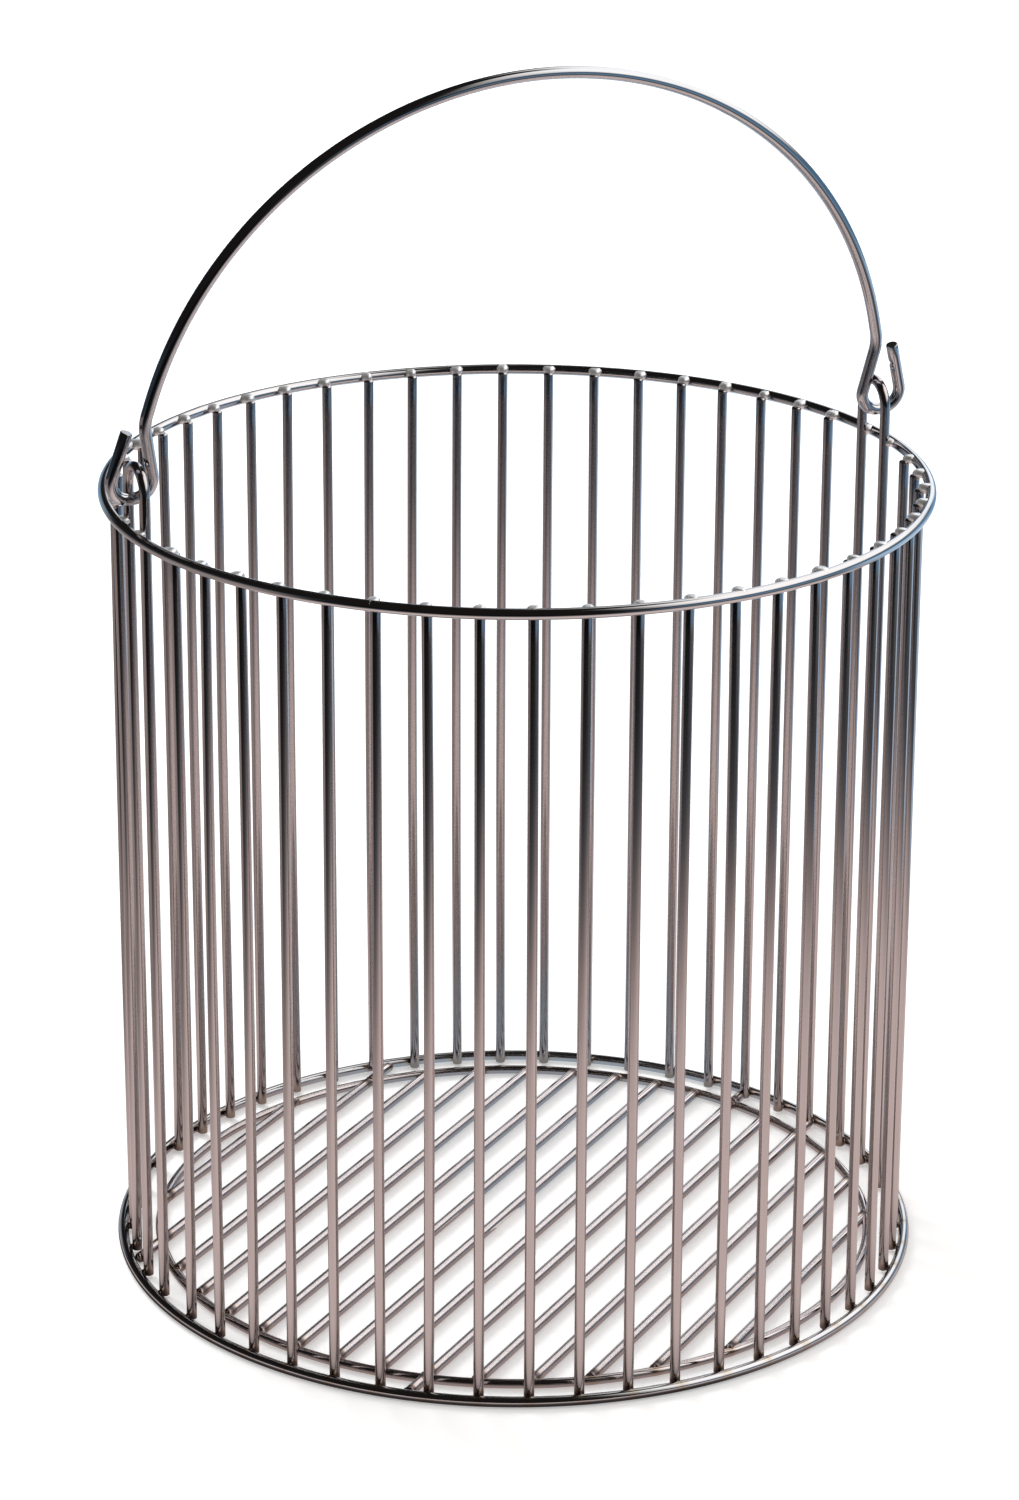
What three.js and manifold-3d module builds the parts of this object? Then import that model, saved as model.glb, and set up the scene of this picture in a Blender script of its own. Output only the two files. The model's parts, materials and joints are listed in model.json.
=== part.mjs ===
// Round stainless steel wire basket with a swinging bail handle.
// Units are millimetres and +Z is up. The origin is on the table, under the centre of the basket,
// and +X runs along the line through the two ears that carry the bail.
import * as THREE from 'three';
import { mergeVertices } from 'three/addons/utils/BufferGeometryUtils.js';
import Module from 'manifold-3d';

// Wall: two rings with upright wires standing against their inner sides
const WALL_DIAMETER = 292; // circle that the uprights' centres stand on
const BASKET_HEIGHT = 300; // table to the top of the rim
const RIM_WIRE = 4;
const BASE_WIRE = 4;
const UPRIGHT_WIRE = 3.8;
const UPRIGHTS_PER_SIDE = 23; // on each side, from one ear to the other
const FOOT_LIFT = 1; // uprights and ears stop this far above the table
const WELD_GAP = 0.3; // left between two wires where they are welded

// Ears: hairpin wires whose loops stand up above the rim
const EAR_WIRE = 3.8;
const EAR_WIDTH = 18; // between the centres of the two legs
const EAR_RISE = 22.5; // centre of the rim wire to the centre of the loop's top
const EAR_SPACE = 22; // along the wall, from an ear's leg to the first upright

// Floor: parallel bars between the sides of a smaller ring, tied to the wall at some bars' ends
const FLOOR_RING_WIRE = 3.5;
const FLOOR_RING_INSET = 14; // centre of the base ring's wire to the centre of the floor ring's
const FLOOR_BAR_WIRE = 4;
const FLOOR_BAR_LIFT = 0.2; // bars clear the table by this
const FLOOR_BAR_PITCH = 17.6;
const FLOOR_BAR_OFFSET = 3; // the bar numbered 0 passes the centre at this distance
const FLOOR_BAR_ANGLE = 39.5; // degrees, from the line through the ears
const FLOOR_BAR_MARGIN = 6; // no bar lies closer than this to the ring's side
const TIES_TO_UPRIGHTS = [[-4, 1], [-2, 1]]; // bar number and end that runs on to an upright's foot
const TIES_TO_BASE = [[-2, -1], [6, 1], [6, -1]]; // ends that run on to the base ring

// Bail: one wire with an arch, and a hook at each end that passes through an ear's loop
const BAIL_WIRE = 4.5;
const BAIL_RISE = 145.5; // pivot line to the centre of the arch's top
const BAIL_LEAN = 9; // degrees, as it stands, towards -Y
const HOOK_PLAY = 7.25; // free space between the hook and the loop's top
const SHOULDER_INSET = 4; // from the ear's plane in to the end of the arch
const SHOULDER_HEIGHT = 36; // end of the arch above the pivot line
const SHOULDER_LENGTH = 8.3; // straight run from the arch to the shoulder's corner
const SHOULDER_BEND = 18;
const HOOK_INSIDE = 7; // corners of the hook, from the ear's plane
const HOOK_OUTSIDE = 12;
const HOOK_BEND = 7;
const HOOK_TIP_OUT = 4.5;
const HOOK_TIP_HEIGHT = 26;

// Facets: every wire is an eight-sided bar whose flats touch its true round section
const SIDES = 8;
const RING_STEPS = 96;
const ARCH_STEPS = 28;
const BEND_STEP = THREE.MathUtils.degToRad(11);

const FLAT_TO_CORNER = 1 / Math.cos(Math.PI / SIDES);
const ringFace = WALL_DIAMETER / 2 + UPRIGHT_WIRE / 2 + WELD_GAP; // inner side of rim and base ring
const rimRadius = ringFace + RIM_WIRE / 2;
const baseRadius = ringFace + BASE_WIRE / 2;
const floorRadius = baseRadius - FLOOR_RING_INSET;
const rimHeight = BASKET_HEIGHT - RIM_WIRE / 2;
const earTop = rimHeight + EAR_RISE;
const earPlane = Math.sqrt((ringFace - WELD_GAP - EAR_WIRE / 2) ** 2 - (EAR_WIDTH / 2) ** 2);
const pivotHeight = earTop - EAR_WIRE / 2 - HOOK_PLAY - BAIL_WIRE / 2;

const wasm = await Module();
wasm.setup();

// Regular section of a wire, turned so that a flat faces each side
function sectionPoints(wire) {
  const corner = (wire / 2) * FLAT_TO_CORNER;
  return Array.from({ length: SIDES }, (_, i) => {
    const angle = ((i + 0.5) * 2 * Math.PI) / SIDES;
    return new THREE.Vector2(corner * Math.cos(angle), corner * Math.sin(angle));
  });
}

// Path of a bent wire: stations close together in the bends and far apart in the straight runs,
// each with its point and its heading
class WireRun extends THREE.Curve {
  constructor(stations) {
    super();
    this.stations = stations;
  }

  getPointAt(u, target = new THREE.Vector3()) {
    return target.copy(this.stations[Math.round(u * (this.stations.length - 1))].point);
  }

  getTangentAt(u, target = new THREE.Vector3()) {
    return target.copy(this.stations[Math.round(u * (this.stations.length - 1))].heading);
  }
}

// Wire swept along flat stations that a function places in space
function sweptWire(stations, wire, toSpace) {
  const placed = stations.map(({ point, heading }) => {
    const start = toSpace(point);
    return { point: start, heading: toSpace(point.clone().add(heading)).sub(start).normalize() };
  });
  return new THREE.ExtrudeGeometry(new THREE.Shape(sectionPoints(wire)), {
    steps: placed.length - 1,
    bevelEnabled: false,
    extrudePath: new WireRun(placed),
  });
}

// Straight wire of a given length, standing on z = 0, with a flat facing +X
function straightWire(length, wire) {
  const corner = (wire / 2) * FLAT_TO_CORNER;
  const geometry = new THREE.CylinderGeometry(corner, corner, length, SIDES);
  geometry.rotateX(Math.PI / 2);
  geometry.rotateZ(Math.PI / SIDES);
  geometry.translate(0, 0, length / 2);
  return geometry;
}

// Wire bent into a flat ring about the Z axis, with a flat of its section facing down
function wireRing(radius, wire, height) {
  const profile = sectionPoints(wire).map((p) => new THREE.Vector2(radius + p.x, p.y));
  profile.push(profile[0].clone());
  const geometry = new THREE.LatheGeometry(profile, RING_STEPS);
  geometry.rotateX(Math.PI / 2);
  geometry.translate(0, 0, height);
  return geometry;
}

// Stations along straight runs with a round bend at each inner corner, in the wire's own plane.
// A bend that its two runs have no room for is made as round as they allow.
function bentPath(corners, bends) {
  const last = corners.length - 1;
  const direction = (from, to) => corners[to].clone().sub(corners[from]).normalize();
  const stations = [{ point: corners[0], heading: direction(0, 1) }];
  for (let i = 1; i < last; i += 1) {
    const back = corners[i - 1].clone().sub(corners[i]);
    const ahead = corners[i + 1].clone().sub(corners[i]);
    const turn = Math.PI - back.angleTo(ahead);
    const room = Math.min(back.length(), ahead.length()) / 2;
    const run = Math.min(bends[i - 1] * Math.tan(turn / 2), room);
    const radius = run / Math.tan(turn / 2);
    const start = back.clone().normalize().multiplyScalar(run).add(corners[i]);
    const inward = back.clone().normalize().add(ahead.clone().normalize()).normalize();
    const centre = inward.multiplyScalar(Math.hypot(radius, run)).add(corners[i]);
    const side = Math.sign(ahead.cross(back));
    const steps = Math.ceil(turn / BEND_STEP);
    for (let k = 0; k <= steps; k += 1) {
      const angle = (side * turn * k) / steps;
      const heading = direction(i - 1, i).rotateAround(new THREE.Vector2(), angle);
      stations.push({ point: start.clone().rotateAround(centre, angle), heading });
    }
  }
  stations.push({ point: corners[last], heading: direction(last - 1, last) });
  return stations;
}

function toSolid(geometry) {
  const bare = geometry.clone();
  bare.deleteAttribute('normal');
  bare.deleteAttribute('uv');
  const merged = mergeVertices(bare);
  return new wasm.Manifold(new wasm.Mesh({
    numProp: 3,
    vertProperties: merged.attributes.position.array,
    triVerts: Uint32Array.from(merged.index.array),
  }));
}

function toGeometry(solid) {
  const mesh = solid.getMesh();
  const geometry = new THREE.BufferGeometry();
  geometry.setAttribute('position', new THREE.BufferAttribute(mesh.vertProperties, 3));
  geometry.setIndex(new THREE.BufferAttribute(mesh.triVerts, 1));
  geometry.computeVertexNormals();
  return geometry;
}

const basket = new THREE.Group();

function addPiece(name, geometry, finish) {
  const mesh = new THREE.Mesh(geometry, new THREE.MeshStandardMaterial(finish));
  mesh.name = name;
  basket.add(mesh);
  return mesh;
}

const RING_FINISH = { color: 0x8f8d90, roughness: 0.22, metalness: 1 };
const UPRIGHT_FINISH = { color: 0x857d7c, roughness: 0.32, metalness: 1 };
const FLOOR_FINISH = { color: 0x8d8583, roughness: 0.28, metalness: 1 };
const BAIL_FINISH = { color: 0x84878c, roughness: 0.2, metalness: 1 };

// Rim and base ring
addPiece('rim_ring', wireRing(rimRadius, RIM_WIRE, rimHeight), RING_FINISH);
addPiece('base_ring', wireRing(baseRadius, BASE_WIRE, BASE_WIRE / 2), RING_FINISH);

// Lines of the floor's bars: a bar runs along one direction, at its own offset across it
const barAngle = THREE.MathUtils.degToRad(FLOOR_BAR_ANGLE);
const barHeight = FLOOR_BAR_LIFT + FLOOR_BAR_WIRE / 2;
const along = new THREE.Vector2(Math.cos(barAngle), Math.sin(barAngle));
const across = new THREE.Vector2(-along.y, along.x);
const barOffset = (number) => FLOOR_BAR_OFFSET + number * FLOOR_BAR_PITCH;
const fitsRing = (number) => Math.abs(barOffset(number)) < floorRadius - FLOOR_BAR_MARGIN;
const barHalf = (FLOOR_BAR_WIRE / 2) * FLAT_TO_CORNER;

// A wall wire that would stand on a tie starts above it
function meetsTie(place, wire, [number, end]) {
  const reach = (wire / 2) * FLAT_TO_CORNER + barHalf + WELD_GAP;
  return place.dot(along) * end > 0 && Math.abs(place.dot(across) - barOffset(number)) < reach;
}

function footHeight(place, wire) {
  const blocked = TIES_TO_BASE.some((tie) => fitsRing(tie[0]) && meetsTie(place, wire, tie));
  return blocked ? FLOOR_BAR_LIFT + FLOOR_BAR_WIRE + WELD_GAP : FOOT_LIFT;
}

// Uprights: evenly spread along each side, clear of the ears
const earLegAngle = Math.atan2(EAR_WIDTH / 2, earPlane);
const firstAngle = earLegAngle + EAR_SPACE / (WALL_DIAMETER / 2);
const uprightStep = (Math.PI - 2 * firstAngle) / (UPRIGHTS_PER_SIDE - 1);
const uprightAngles = [0, Math.PI].flatMap((side) =>
  Array.from({ length: UPRIGHTS_PER_SIDE }, (_, i) => side + firstAngle + i * uprightStep));
const uprightPlaces = uprightAngles.map((angle) =>
  new THREE.Vector2(Math.cos(angle), Math.sin(angle)).multiplyScalar(WALL_DIAMETER / 2));
uprightPlaces.forEach((place, i) => {
  const foot = footHeight(place, UPRIGHT_WIRE);
  const name = `upright_${String(i + 1).padStart(2, '0')}`;
  const upright = addPiece(name, straightWire(BASKET_HEIGHT - foot, UPRIGHT_WIRE), UPRIGHT_FINISH);
  upright.position.set(place.x, place.y, foot);
  upright.rotation.z = uprightAngles[i];
});

// Ears: up one leg, over the loop and down the other
for (const [name, side] of [['ear_right', 1], ['ear_left', -1]]) {
  const [foot, farFoot] = [-1, 1].map((leg) =>
    footHeight(new THREE.Vector2(side * earPlane, (side * leg * EAR_WIDTH) / 2), EAR_WIRE));
  const earCorners = [
    new THREE.Vector2(-EAR_WIDTH / 2, foot),
    new THREE.Vector2(-EAR_WIDTH / 2, earTop),
    new THREE.Vector2(EAR_WIDTH / 2, earTop),
    new THREE.Vector2(EAR_WIDTH / 2, farFoot),
  ];
  const earPath = bentPath(earCorners, [EAR_WIDTH / 2, EAR_WIDTH / 2]);
  const toSpace = (p) => new THREE.Vector3(side * earPlane, side * p.x, p.y);
  addPiece(name, sweptWire(earPath, EAR_WIRE, toSpace), UPRIGHT_FINISH);
}

// Floor grid: the bars are trimmed to the middle of the ring's wire and welded into it
function barBetween(start, end, offset) {
  const geometry = straightWire(end - start, FLOOR_BAR_WIRE);
  geometry.rotateY(Math.PI / 2);
  geometry.rotateZ(barAngle);
  const near = along.clone().multiplyScalar(start).addScaledVector(across, offset);
  geometry.translate(near.x, near.y, barHeight);
  return geometry;
}

const mostBars = Math.ceil(floorRadius / FLOOR_BAR_PITCH);
const barNumbers = Array.from({ length: 2 * mostBars + 1 }, (_, i) => i - mostBars);
const floorBars = barNumbers.filter(fitsRing);
const trim = new THREE.CylinderGeometry(floorRadius, floorRadius, 4 * FLOOR_BAR_WIRE, RING_STEPS);
trim.rotateX(Math.PI / 2);
const barSolids = floorBars.map((number) =>
  toSolid(barBetween(-floorRadius, floorRadius, barOffset(number))));
const trimmedBars = barSolids.reduce((all, bar) => all.add(bar)).intersect(toSolid(trim));
const floorRing = toSolid(wireRing(floorRadius, FLOOR_RING_WIRE, FLOOR_RING_WIRE / 2));
addPiece('floor_grid', toGeometry(floorRing.add(trimmedBars)), FLOOR_FINISH);

// Floor ties: short wires in line with some bars, from the floor ring out to the wall
const chord = (radius, offset) => Math.sqrt(radius ** 2 - offset ** 2);
const ringSide = floorRadius + FLOOR_RING_WIRE / 2 + WELD_GAP;
const baseSide = ringFace * Math.cos(Math.PI / RING_STEPS) - WELD_GAP;
const uprightHalf = (UPRIGHT_WIRE / 2) * FLAT_TO_CORNER + WELD_GAP;

function reachUpright([number, end]) {
  const free = chord(WALL_DIAMETER / 2 - uprightHalf, Math.abs(barOffset(number)) + barHalf);
  const hit = uprightPlaces.find((place) => meetsTie(place, UPRIGHT_WIRE, [number, end]));
  return hit ? Math.abs(hit.dot(along)) - uprightHalf : free;
}

function reachBase([number]) {
  return chord(baseSide, Math.abs(barOffset(number)) + barHalf);
}

const ties = [
  ...TIES_TO_UPRIGHTS.map((tie) => ({ tie, reach: reachUpright(tie) })),
  ...TIES_TO_BASE.map((tie) => ({ tie, reach: reachBase(tie) })),
];
ties.filter(({ tie }) => fitsRing(tie[0])).forEach(({ tie: [number, end], reach }, i) => {
  const start = chord(ringSide, Math.abs(barOffset(number)) - barHalf);
  const ends = [start * end, reach * end];
  const geometry = barBetween(Math.min(...ends), Math.max(...ends), barOffset(number));
  addPiece(`floor_tie_${i + 1}`, geometry, FLOOR_FINISH);
});

// Bail handle: the arch passes through its top and both shoulders, and each shoulder leads to a hook
const shoulder = new THREE.Vector2(earPlane - SHOULDER_INSET, SHOULDER_HEIGHT);
const archDepth = BAIL_RISE - shoulder.y;
const archRadius = (shoulder.x ** 2 + archDepth ** 2) / (2 * archDepth);
const archCentre = BAIL_RISE - archRadius;
const archEnd = Math.atan2(shoulder.y - archCentre, shoulder.x);
const arch = new THREE.EllipseCurve(0, archCentre, archRadius, archRadius, Math.PI - archEnd, archEnd, true);
const leaving = new THREE.Vector2(Math.sin(archEnd), -Math.cos(archEnd));
const hookCorners = [
  shoulder,
  leaving.multiplyScalar(SHOULDER_LENGTH).add(shoulder),
  new THREE.Vector2(earPlane - HOOK_INSIDE, 0),
  new THREE.Vector2(earPlane + HOOK_OUTSIDE, 0),
  new THREE.Vector2(earPlane + HOOK_TIP_OUT, HOOK_TIP_HEIGHT),
];
const hook = bentPath(hookCorners, [SHOULDER_BEND, HOOK_BEND, HOOK_BEND]).slice(1);
const mirroredHook = hook.map(({ point, heading }) => ({
  point: new THREE.Vector2(-point.x, point.y),
  heading: new THREE.Vector2(heading.x, -heading.y),
})).reverse();
const archPath = Array.from({ length: ARCH_STEPS + 1 }, (_, i) =>
  ({ point: arch.getPoint(i / ARCH_STEPS), heading: arch.getTangent(i / ARCH_STEPS) }));
const bailPath = [...mirroredHook, ...archPath, ...hook];
const bailWire = sweptWire(bailPath, BAIL_WIRE, (p) => new THREE.Vector3(p.x, 0, p.y));
const bail = addPiece('bail_handle', bailWire, BAIL_FINISH);
bail.position.z = pivotHeight;
bail.rotation.x = THREE.MathUtils.degToRad(BAIL_LEAN);

export default basket;
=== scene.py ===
# %% [markdown]
# A round basket of welded stainless steel wire with a swinging bail handle.
# The real one is made of a few straight and bent wires, so every piece here is one idea:
# a round section carried along a path. The CAD solids give each wire its place and length,
# and their eight-sided bars are replaced by smooth round wire with cut ends and weld marks.

# %% Load the frame
import json
import math

import bpy
import numpy as np
from mathutils import Matrix, Vector


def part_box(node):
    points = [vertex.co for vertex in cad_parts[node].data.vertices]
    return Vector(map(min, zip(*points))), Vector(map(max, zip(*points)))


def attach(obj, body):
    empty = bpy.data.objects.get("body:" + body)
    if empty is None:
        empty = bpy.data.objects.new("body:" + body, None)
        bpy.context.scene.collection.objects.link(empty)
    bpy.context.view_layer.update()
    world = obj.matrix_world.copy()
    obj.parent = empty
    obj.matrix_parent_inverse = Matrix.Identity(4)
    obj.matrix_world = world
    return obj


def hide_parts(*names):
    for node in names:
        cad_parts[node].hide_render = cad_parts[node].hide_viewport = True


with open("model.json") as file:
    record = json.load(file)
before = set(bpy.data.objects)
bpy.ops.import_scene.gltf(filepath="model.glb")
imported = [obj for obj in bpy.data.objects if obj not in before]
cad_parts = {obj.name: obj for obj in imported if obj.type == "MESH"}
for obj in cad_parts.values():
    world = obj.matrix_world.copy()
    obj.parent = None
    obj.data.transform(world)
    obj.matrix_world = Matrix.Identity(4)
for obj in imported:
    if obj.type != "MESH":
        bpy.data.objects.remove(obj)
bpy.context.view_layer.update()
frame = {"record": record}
MM = 0.001

# %% [markdown]
# The camera stands where the photographer stood: about 1.6 m out and 0.8 m up, looking down by
# some 20 degrees. The line through the two ears is turned so that its right end lies further away.
# The lens is worked out from the image's long side, which Blender's 36 mm sensor spans.

# %% Camera
VIEW_TURN = math.radians(-23.5)
CAMERA_OUT = 1613.2 * MM
CAMERA_UP = 795.2 * MM
PITCH_DOWN, YAW, ROLL = math.radians(20.45), math.radians(-0.083), math.radians(-0.238)
FOCAL_PIXELS, LONG_SIDE_PIXELS, SENSOR_MM = 4629.2, 1500, 36.0


def turned_to_view(vectors):
    """Turns vectors from the viewer's axes (right, away, up) to the part's axes, about the vertical."""
    c, s = math.cos(VIEW_TURN), math.sin(VIEW_TURN)
    return np.asarray(vectors, float) @ np.array([[c, s, 0], [-s, c, 0], [0, 0, 1]])


ahead = np.array([math.sin(YAW) * math.cos(PITCH_DOWN), math.cos(YAW) * math.cos(PITCH_DOWN),
                  -math.sin(PITCH_DOWN)])
level_right = np.array([math.cos(YAW), -math.sin(YAW), 0.0])
level_down = np.cross(ahead, level_right)
right = math.cos(ROLL) * level_right + math.sin(ROLL) * level_down
down = -math.sin(ROLL) * level_right + math.cos(ROLL) * level_down
axes = turned_to_view([right, -down, -ahead])
place = turned_to_view([0, -CAMERA_OUT, CAMERA_UP])

camera = bpy.data.objects.new("camera", bpy.data.cameras.new("camera"))
camera.data.sensor_width = SENSOR_MM
camera.data.lens = FOCAL_PIXELS * SENSOR_MM / LONG_SIDE_PIXELS
camera.data.clip_start, camera.data.clip_end = 0.05, 100.0
camera.matrix_world = Matrix([[*axes[:, i], place[i]] for i in range(3)] + [[0, 0, 0, 1]])
bpy.context.collection.objects.link(camera)
bpy.context.scene.camera = camera
bpy.context.scene.view_settings.view_transform = "Standard"
print("lens", round(camera.data.lens, 1), "mm, camera at", place.round(3))

# %% [markdown]
# The studio is a plain white floor under an even sky, with one soft lamp behind on the left. The
# lamp's light comes over the basket towards the camera, so each floor bar has its own soft shadow
# on its right. The floor is white by its own colour, with a slight glow for the camera and for
# reflections that takes the last grey out of the background and leaves the shadows.

# %% Floor, sky and soft lamp
FLOOR_DROP = 0.3 * MM
FLOOR_REACH = 40.0
FLOOR_COLOUR = (0.97, 0.965, 0.96)
FLOOR_GLOW = 0.34
LAMP_TURN, LAMP_RISE = math.radians(126), math.radians(42)
LAMP_DISTANCE, LAMP_WIDE, LAMP_HIGH = 4.5, 2.4, 1.8
LAMP_SHARE = 0.38
SKY_STRENGTH = 0.63
SKY_COLOUR, LAMP_COLOUR = (1.0, 0.98, 0.964), (0.965, 1.0, 1.0)


def white_floor():
    """A matt white material that glows a little for camera, glossy and transmission rays only."""
    material = bpy.data.materials.new("white_floor")
    material.use_nodes = True
    nodes, links = material.node_tree.nodes, material.node_tree.links
    shader = nodes["Principled BSDF"]
    shader.inputs["Base Color"].default_value = (*FLOOR_COLOUR, 1)
    shader.inputs["Roughness"].default_value = 0.9
    shader.inputs["Specular IOR Level"].default_value = 0.0
    shader.inputs["Emission Color"].default_value = (1, 1, 1, 1)
    path = nodes.new("ShaderNodeLightPath")
    seen = path.outputs["Is Camera Ray"]
    for ray in ("Is Glossy Ray", "Is Transmission Ray"):
        either = nodes.new("ShaderNodeMath")
        either.operation = "MAXIMUM"
        links.new(seen, either.inputs[0])
        links.new(path.outputs[ray], either.inputs[1])
        seen = either.outputs[0]
    glow = nodes.new("ShaderNodeMath")
    glow.operation = "MULTIPLY"
    glow.inputs[1].default_value = FLOOR_GLOW
    links.new(seen, glow.inputs[0])
    links.new(glow.outputs[0], shader.inputs["Emission Strength"])
    return material


floor_mesh = bpy.data.meshes.new("studio_floor")
corners = np.array([[-1, -1], [1, -1], [1, 1], [-1, 1]]) * FLOOR_REACH
floor_mesh.from_pydata([(x, y, -FLOOR_DROP) for x, y in corners], [], [(0, 1, 2, 3)])
studio_floor = bpy.data.objects.new("studio_floor", floor_mesh)
floor_mesh.materials.append(white_floor())
bpy.context.collection.objects.link(studio_floor)

world = bpy.data.worlds.new("even_sky")
world.use_nodes = True
world.node_tree.nodes["Background"].inputs["Color"].default_value = (*SKY_COLOUR, 1)
world.node_tree.nodes["Background"].inputs["Strength"].default_value = SKY_STRENGTH
bpy.context.scene.world = world

lamp_data = bpy.data.lights.new("soft_lamp", "AREA")
lamp_data.shape = "RECTANGLE"
lamp_data.size, lamp_data.size_y = LAMP_WIDE, LAMP_HIGH
lamp_data.color = LAMP_COLOUR
lamp_data.energy = LAMP_SHARE * (math.pi * LAMP_DISTANCE) ** 2 / math.sin(LAMP_RISE)
lamp = bpy.data.objects.new("soft_lamp", lamp_data)
towards_lamp = turned_to_view([math.cos(LAMP_RISE) * math.cos(LAMP_TURN),
                               math.cos(LAMP_RISE) * math.sin(LAMP_TURN), math.sin(LAMP_RISE)])
lamp.location = towards_lamp * LAMP_DISTANCE
lamp.rotation_mode = "QUATERNION"
lamp.rotation_quaternion = Vector(towards_lamp).to_track_quat("Z", "Y")
lamp.visible_camera = False
lamp.visible_glossy = False
bpy.context.collection.objects.link(lamp)
print("lamp", LAMP_WIDE, "by", LAMP_HIGH, "m,", LAMP_DISTANCE, "m away,", round(lamp_data.energy), "W")

# %% [markdown]
# Polished wire has hardly any colour of its own: it shows the room. Photographers stand dark and
# bright cards around such things, outside the picture, and so does this scene. One card lies on
# the floor in front and at the sides and darkens away from the basket, which makes the uprights
# black at the top and pale at the foot. The other is a dark dome with a large window on the right,
# which makes the white on the right of the rim, on the bail's top and along the floor bars. Only
# reflections see the cards.

# %% Reflection cards
CARD_REACH = 3.5
POOL_MIDDLE = np.array([0.09, -0.09])
POOL_RADII = [0.0, 0.25, 0.32, 0.37, 0.43, 0.50, 0.55, 0.60, 0.66, 0.72, 0.80, 0.90, 1.6]
POOL_LIGHT = [0.80, 0.78, 0.72, 0.62, 0.43, 0.24, 0.15, 0.09, 0.05, 0.03, 0.016, 0.009, 0.005]
WARM = np.array([1.10, 0.945, 0.915])
COOL = np.array([0.72, 0.98, 1.24])
BLUE = np.array([0.52, 0.98, 1.50])


def soft_step(low, high, value):
    """0 below low, 1 above high and a smooth S between them."""
    t = np.clip((value - low) / (high - low), 0, 1)
    return t * t * (3 - 2 * t)


def grid_quads(rows, columns, wrap=False):
    """Four corner numbers for each cell of a grid of rows x columns points; wrap closes the columns."""
    across = columns if wrap else columns - 1
    i, j = np.meshgrid(np.arange(rows - 1), np.arange(across), indexing="ij")
    k = (j + 1) % columns
    return np.stack([i * columns + j, i * columns + k, (i + 1) * columns + k, (i + 1) * columns + j],
                    axis=-1).reshape(-1, 4)


def reflection_card(name, points, shades, quads):
    """A mesh that glows with the shade kept at each of its points and shows in reflections only."""
    mesh = bpy.data.meshes.new(name)
    mesh.from_pydata(points.tolist(), [], quads.tolist())
    glow = mesh.attributes.new("glow", "FLOAT_COLOR", "POINT")
    glow.data.foreach_set("color", np.column_stack([shades, np.ones(len(shades))]).ravel())
    material = bpy.data.materials.new(name)
    material.use_nodes = True
    nodes, links = material.node_tree.nodes, material.node_tree.links
    nodes.clear()
    attribute = nodes.new("ShaderNodeAttribute")
    attribute.attribute_name = "glow"
    emission = nodes.new("ShaderNodeEmission")
    output = nodes.new("ShaderNodeOutputMaterial")
    links.new(attribute.outputs["Color"], emission.inputs["Color"])
    links.new(emission.outputs["Emission"], output.inputs["Surface"])
    mesh.materials.append(material)
    card = bpy.data.objects.new(name, mesh)
    bpy.context.collection.objects.link(card)
    card.visible_camera = False
    card.visible_diffuse = False
    card.visible_transmission = False
    card.visible_shadow = False
    return card


print("cards reach", CARD_REACH, "m out")

# %% [markdown]
# The floor card is a disc whose rings of points lie close together under the wall, where its light
# changes fast. The brightness is a curve over the distance from the middle of a bright pool, and a
# few sectors are lightened or tinted on top of it. Under the hoops the card carries the shade that
# they cast on a table, which is deepest at the front left.

# %% Floor card
UNDER_RADII = [0.0, 0.138, 0.145, 0.150, 0.155, 0.163, 0.19]
UNDER_LIGHT = [0.46, 0.46, 0.20, 0.06, 0.06, 0.72, 1.0]
FAINT_RADII, FAINT_LIGHT = UNDER_RADII[:2] + UNDER_RADII[-2:], UNDER_LIGHT[:2] + UNDER_LIGHT[-2:]
CARD_TURNS = 96
OPEN_FLOOR, OPEN_ROWS, OPEN_SPREAD = 0.20, 60, 1.8
under_floor = np.linspace(0.01, 0.13, 5)
under_wall = np.linspace(0.134, 0.19, 26)
open_floor = OPEN_FLOOR + (CARD_REACH - OPEN_FLOOR) * np.linspace(0, 1, OPEN_ROWS) ** OPEN_SPREAD
radius_steps = np.concatenate([under_floor, under_wall, open_floor])
turn_steps = np.linspace(0, 2 * np.pi, CARD_TURNS, endpoint=False)
rr, aa = np.meshgrid(radius_steps, turn_steps, indexing="ij")
level = np.full_like(rr, -FLOOR_DROP / 2)
ground = np.stack([rr * np.cos(aa), rr * np.sin(aa), level], -1).reshape(-1, 3)
pool = np.hypot(ground[:, 0] - POOL_MIDDLE[0], ground[:, 1] - POOL_MIDDLE[1])


def sector(middle, half, fade):
    """1 inside a sector of the card about a middle direction, in degrees, falling smoothly to 0."""
    away = np.abs((np.degrees(aa.ravel()) - middle + 180) % 360 - 180)
    return (1 - soft_step(half, half + fade, away))[:, None]


tint = WARM + soft_step(0.46, 0.62, pool)[:, None] * (COOL - WARM) * 0.6
shades = np.interp(pool, POOL_RADII, POOL_LIGHT)[:, None] * tint
RING_EDGES = ((0.40, 0.60), (0.62, 0.95), (0.95, 1.25))
close, near, far = (soft_step(*edges, pool)[:, None] for edges in RING_EDGES)
SECTORS = (  # reach, sector, brightness, tint
    (near, sector(5, 35, 40), 0.20, np.ones(3)),
    (far, sector(5, 35, 40), 0.34, BLUE),
    (close, sector(165, 30, 25), 0.36, WARM),
    (far, sector(165, 30, 25), 0.22, WARM),
    (close, sector(42, 24, 20), 0.75, 0.4 + 0.6 * BLUE),
    (1.0, sector(84, 23, 26), 0.90, 0.5 + 0.5 * COOL),
    (far, sector(84, 23, 26), 0.45, BLUE),
)
for reach, weight, brightness, colour in SECTORS:
    shades = shades + reach * weight * (brightness * colour - shades)
in_shade = np.interp(rr.ravel(), UNDER_RADII, UNDER_LIGHT)[:, None]
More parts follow.
